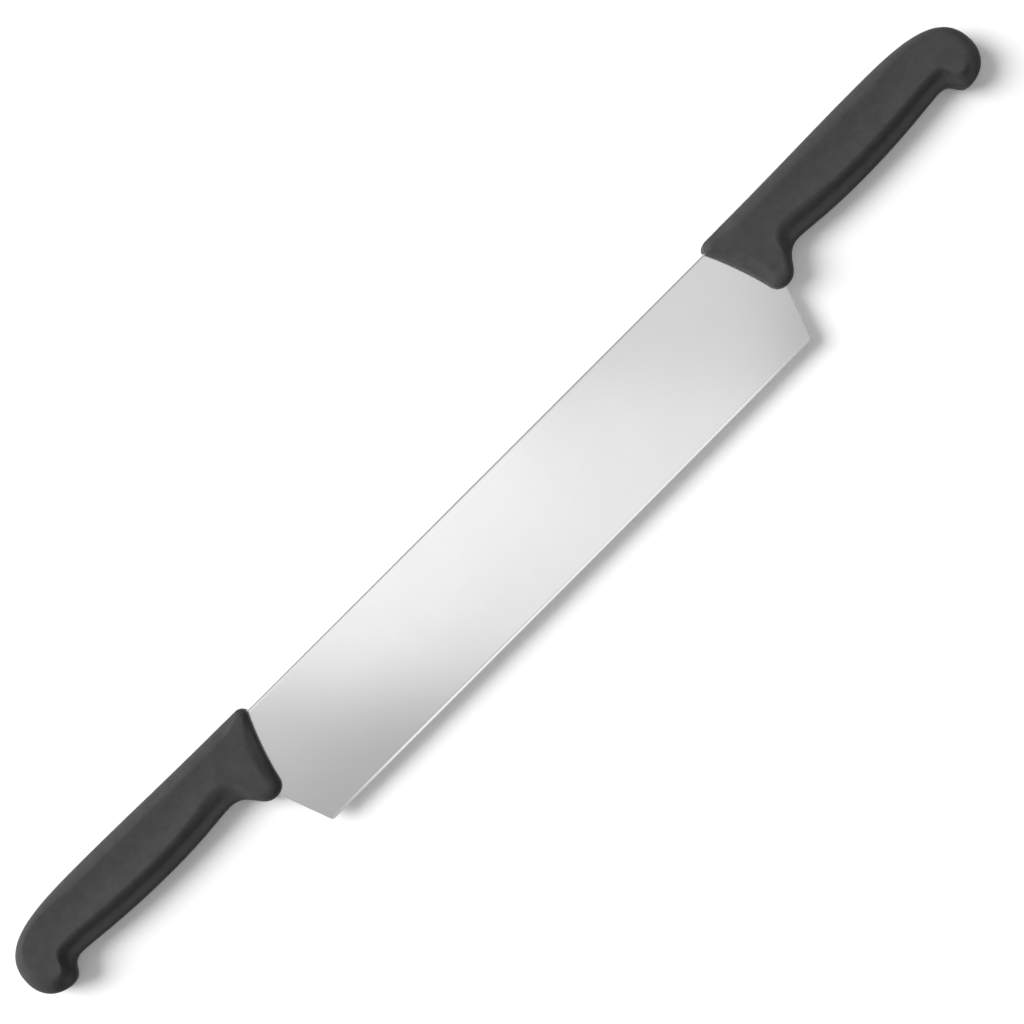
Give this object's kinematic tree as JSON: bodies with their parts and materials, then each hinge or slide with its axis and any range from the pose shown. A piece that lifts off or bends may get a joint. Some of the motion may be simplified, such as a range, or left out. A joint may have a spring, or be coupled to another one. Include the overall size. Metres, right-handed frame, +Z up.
{
  "type": "double-handled cheese knife",
  "caption": "Wide straight steel blade with a ground edge and a moulded plastic grip at each end, pressed down with both hands to cut large cheese wheels and blocks.",
  "frame": {"origin": "below the middle of the knife's bounding box, on the surface that the knife lies on", "axes": "+X along the knife from the left handle to the right handle, +Y from the cutting edge to the spine, +Z up, square to the blade"},
  "size_m": [0.599, 0.0662, 0.021],
  "materials": {
    "steel": "fine satin grind, polished",
    "grip_plastic": "fine moulded grain, near black"
  },
  "bodies": {
    "root": {"blade": "steel", "handle_left": "grip_plastic", "handle_right": "grip_plastic"}
  },
  "joints": []
}
